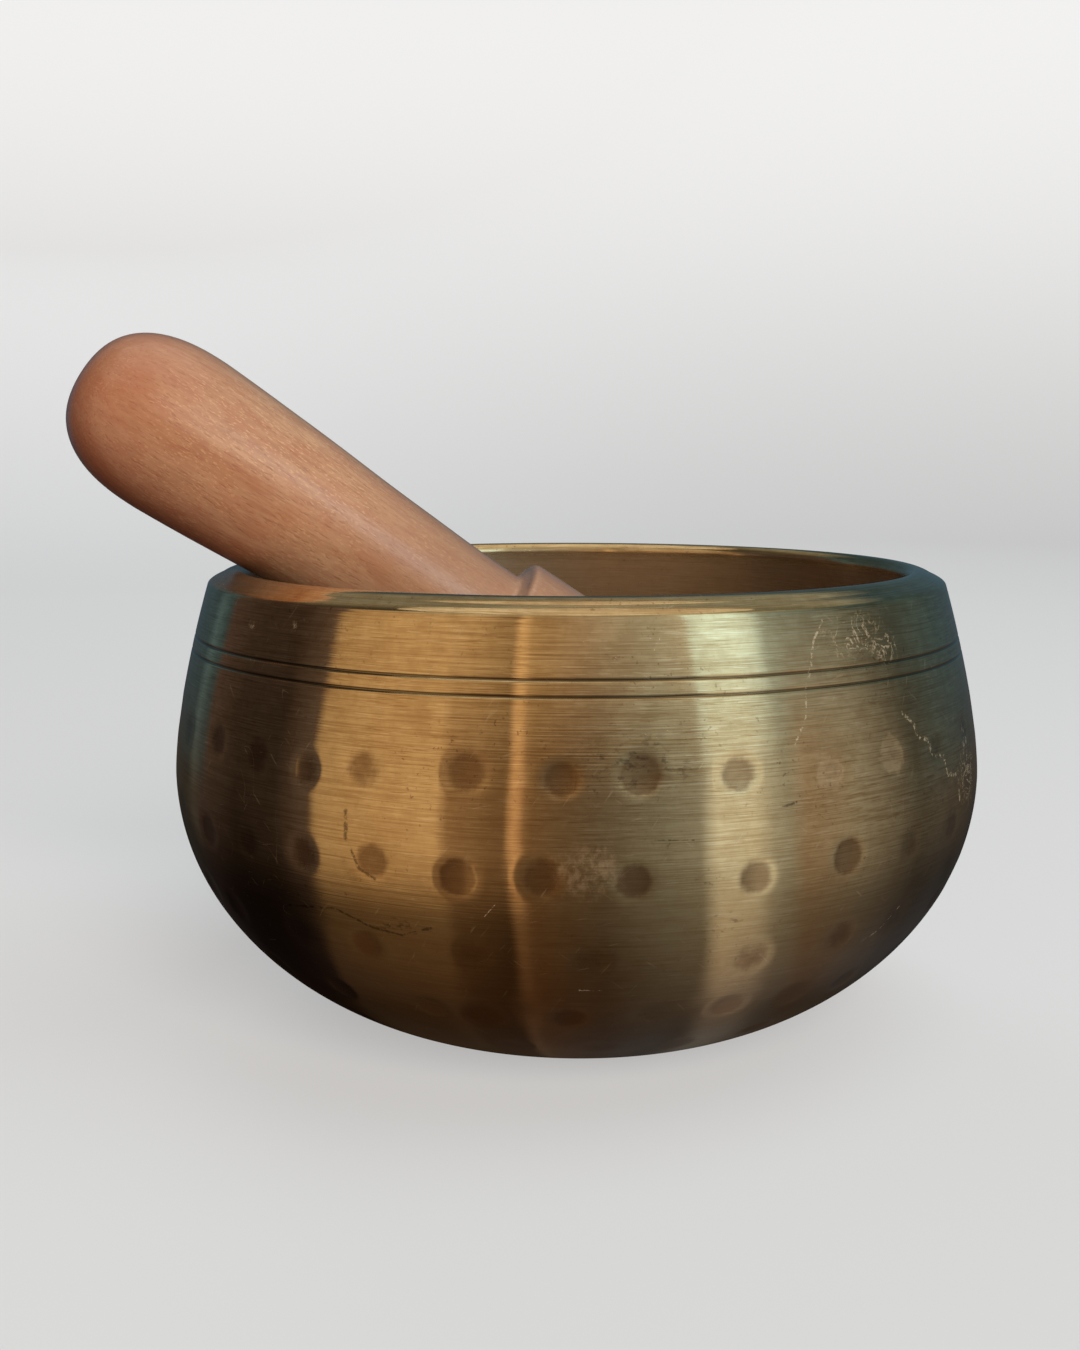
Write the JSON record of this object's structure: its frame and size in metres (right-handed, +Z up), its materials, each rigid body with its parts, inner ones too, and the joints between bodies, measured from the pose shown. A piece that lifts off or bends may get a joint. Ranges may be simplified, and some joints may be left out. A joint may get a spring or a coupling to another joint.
{
  "type": "singing bowl with mallet",
  "caption": "Thick turned brass singing bowl with two fine grooves below a bevelled lip, and a turned wooden mallet leaning in it.",
  "frame": {"origin": "centre of the flat face under the bowl", "axes": "+Z up along the bowl's axis; the mallet's head points to -X; -Y is the front in the reference view"},
  "size_m": [0.1321, 0.12, 0.1013],
  "materials": {
    "brass": "lathe-brushed and tarnished, darker towards the foot",
    "wood": "satin varnish with fine open pores"
  },
  "bodies": {
    "bowl": {"bowl": "brass"},
    "mallet": {"mallet": "wood"}
  },
  "joints": [
    {"name": "mallet_lift", "type": "slide", "parent": "bowl", "child": "mallet", "axis": [-0.7088, -0.1224, 0.6947], "range_m": [0, 0.15]}
  ]
}
